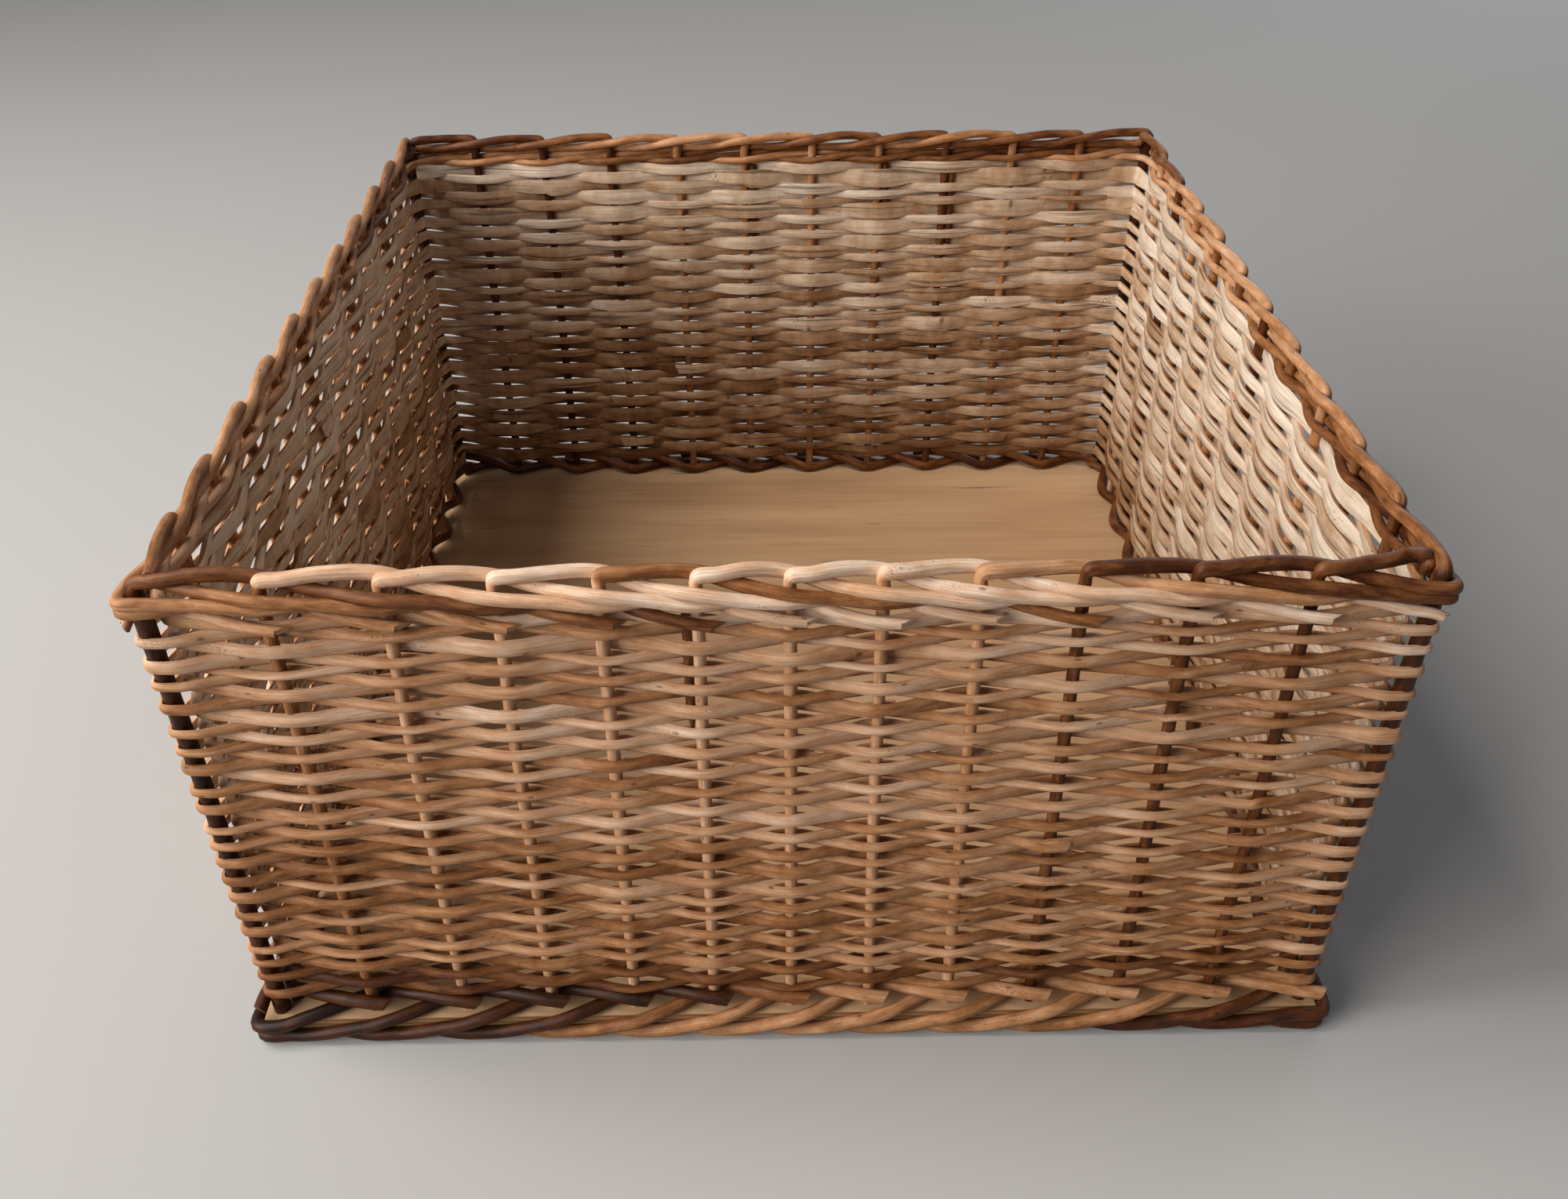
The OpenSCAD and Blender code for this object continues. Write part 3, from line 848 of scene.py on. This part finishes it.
def plywood():
    """Grain and broad bands set the face's colour, and plies 1.4 mm thick the edge's.

    A point belongs to the edge where it lies no further in than 0.1 mm from a side. There
    the height, folded to and fro over one ply, gives the stripes.
    """
    material, tree, shader = new_material("birch_plywood", 0.5)  # sanded: a broad, soft shine
    at = add(tree, "ShaderNodeTexCoord", out="Object")
    fields = []
    for marks, detail, bent in PLY_MARKS:
        way = add(tree, "ShaderNodeVectorMath", {0: at, 1: marks}, operation="MULTIPLY")
        fields.append(add(tree, "ShaderNodeTexNoise",
                          {"Vector": way, "Scale": 1.0, "Detail": detail, "Roughness": 0.6,
                           "Distortion": bent}))
    grain, broad, streak, pore = fields
    mixed = add(tree, "ShaderNodeMix", {0: 0.7, 2: grain, 3: broad}, data_type="FLOAT")
    face = add(tree, "ShaderNodeValToRGB", {0: mixed}, VENEER)
    mark = add(tree, "ShaderNodeMapRange", {0: streak, 1: 0.67, 2: 0.75, 3: 1.0, 4: 0.5})
    pores = add(tree, "ShaderNodeMapRange", {0: pore, 1: 0.72, 2: 0.80, 3: 1.0, 4: 0.6})
    mark = add(tree, "ShaderNodeMath", {0: mark, 1: pores}, operation="MULTIPLY")

    split = add(tree, "ShaderNodeSeparateXYZ", {0: at}).node.outputs
    ply = add(tree, "ShaderNodeMath", {0: split[2], 1: PLY}, operation="PINGPONG")
    ply = add(tree, "ShaderNodeMath", {0: ply, 1: 1 / PLY}, operation="MULTIPLY")
    layers = add(tree, "ShaderNodeValToRGB", {0: ply}, PLIES)
    beyond = []
    for way, half in ((split[0], board_high.x), (split[1], board_high.y)):
        far = add(tree, "ShaderNodeMath", {0: way}, operation="ABSOLUTE")
        beyond.append(add(tree, "ShaderNodeMath", {0: far, 1: half}, operation="SUBTRACT"))
    edge = add(tree, "ShaderNodeMath", {0: beyond[0], 1: beyond[1]}, operation="MAXIMUM")
    edge = add(tree, "ShaderNodeMath", {0: edge, 1: -0.1 * MM}, operation="GREATER_THAN")

    both = add(tree, "ShaderNodeMix", {0: edge, 6: face, 7: layers}, out=2, data_type="RGBA")
    colour = add(tree, "ShaderNodeVectorMath", {0: both, "Scale": mark}, operation="SCALE")
    bump = add(tree, "ShaderNodeBump",
               {"Height": grain, "Strength": 0.15, "Distance": 0.1 * MM})
    tree.links.new(colour, shader.inputs["Base Color"])
    tree.links.new(bump, shader.inputs["Normal"])
    return material


board_finish = plywood()
print(board_finish.name, "of", len(board_finish.node_tree.nodes), "nodes")

# %% The board, drilled and eased
mesh = bpy.data.meshes.new("board")
merged = bmesh.new()
merged.from_mesh(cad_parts["base_board"].data)
bmesh.ops.remove_doubles(merged, verts=merged.verts, dist=0.01 * MM)
bmesh.ops.dissolve_limit(merged, angle_limit=math.radians(2), verts=merged.verts,
                         edges=merged.edges)
merged.to_mesh(mesh)
merged.free()
mesh.materials.clear()
mesh.materials.append(board_finish)
board = bpy.data.objects.new("board", mesh)
bpy.context.scene.collection.objects.link(board)
bevel = board.modifiers.new("eased edges", "BEVEL")
bevel.width, bevel.segments, bevel.limit_method = 0.35 * MM, 2, "ANGLE"
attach(board, "root")
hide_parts("base_board")
print("board of", len(mesh.polygons), "faces before its bevel")

# %% [markdown]
# ## Floor, light and camera
#
# The basket stands on a plain pale floor. A large soft lamp on the left does what a
# window does: it lights the inside of the right wall and leaves the left wall's inside
# in shade. Lower ones beside it light the front. A weak one at the rear right and the
# world fill in the rest. The lamps are a little warm and the world a little cool, as in
# a room by day. The floor is pale where it is looked at, and darker for the light that
# it throws back, so that it doesn't fill the basket's shade. The Standard view shows a
# plainly lit surface about as its colour is written here.

# %% The floor
def seen_ray(tree):
    """1 for a ray from the camera, a reflection or a glass surface, else 0."""
    rays = add(tree, "ShaderNodeLightPath").node.outputs
    seen = rays["Is Camera Ray"]
    for kind in ("Is Glossy Ray", "Is Transmission Ray"):
        seen = add(tree, "ShaderNodeMath", {0: seen, 1: rays[kind]}, operation="MAXIMUM")
    return seen


FLOOR_HALF = 6.0
FLOOR_SEEN, FLOOR_LIGHT = "#b2b1af", "#8a8784"
floor_mesh = bpy.data.meshes.new("floor")
floor_mesh.from_pydata(
    [(-FLOOR_HALF, -FLOOR_HALF, 0), (FLOOR_HALF, -FLOOR_HALF, 0),
     (FLOOR_HALF, FLOOR_HALF, 0), (-FLOOR_HALF, FLOOR_HALF, 0)], [], [(0, 1, 2, 3)]
)
floor = bpy.data.objects.new("floor", floor_mesh)
bpy.context.scene.collection.objects.link(floor)
matt, tree, shader = new_material("pale_floor", 0.8)  # next to no shine, so the shadow shows
shade = add(tree, "ShaderNodeMix",
            {0: seen_ray(tree), 6: srgb(FLOOR_LIGHT), 7: srgb(FLOOR_SEEN)}, out=2,
            data_type="RGBA")
tree.links.new(shade, shader.inputs["Base Color"])
floor_mesh.materials.append(matt)
print("floor", 2 * FLOOR_HALF, "metres square")


# %% Lamps
LAMP_AIM = (0, 0, 0.1)


def lamp(name, place_at, size, power, colour):
    """A square area lamp at place_at that faces the basket."""
    light = bpy.data.lights.new(name, "AREA")
    light.size, light.energy, light.color = size, power, srgb(colour)[:3]
    obj = bpy.data.objects.new(name, light)
    obj.location = place_at
    direction = np.array(LAMP_AIM) - place_at
    obj.rotation_euler = Vector(direction).to_track_quat("-Z", "Y").to_euler()
    bpy.context.scene.collection.objects.link(obj)


lamp("window", (-1.2, -0.1, 2.05), 0.9, 36, "#fffaf5")
lamp("low_window", (-2.3, -0.8, 1.2), 1.2, 33, "#fffbf7")
lamp("front_window", (-1.9, -1.6, 1.3), 1.2, 40, "#fffbf7")
lamp("room_fill", (1.5, 2.1, 1.3), 1.6, 14, "#f6f7fa")
print(len(bpy.data.lights), "lamps")

# %% The world
# A dim, cool sky for the light, and a pale backdrop for what is looked at.
WORLD_LIGHT, WORLD_SEEN = 0.13, 0.5
world = bpy.data.worlds.new("studio")
world.use_nodes = True
tree = world.node_tree
glow = add(tree, "ShaderNodeMath",
           {0: seen_ray(tree), 1: WORLD_SEEN - WORLD_LIGHT, 2: WORLD_LIGHT},
           operation="MULTIPLY_ADD")
background = tree.nodes["Background"]
background.inputs["Color"].default_value = srgb("#e6edf6")
tree.links.new(glow, background.inputs["Strength"])
bpy.context.scene.world = world
bpy.context.scene.view_settings.view_transform = "Standard"
print("world strength", WORLD_LIGHT, "for light and", WORLD_SEEN, "where it is seen")

# %% The camera
# It looks down on the front wall from a little above table height.
PITCH, YAW, ROLL = (math.radians(a) for a in (36.80, 0.505, 0.368))
camera_data = bpy.data.cameras.new("camera")
camera_data.sensor_width, camera_data.lens = 36.0, 31.56
camera = bpy.data.objects.new("camera", camera_data)
camera.location = (-0.0060, -0.6654, 0.5675)
camera.rotation_euler = (
    Matrix.Rotation(-YAW, 3, "Z") @ Matrix.Rotation(math.pi / 2 - PITCH, 3, "X")
    @ Matrix.Rotation(-ROLL, 3, "Z")
).to_euler()
bpy.context.scene.collection.objects.link(camera)
bpy.context.scene.camera = camera
print("camera at", tuple(round(c, 3) for c in camera.location), "lens", camera_data.lens)
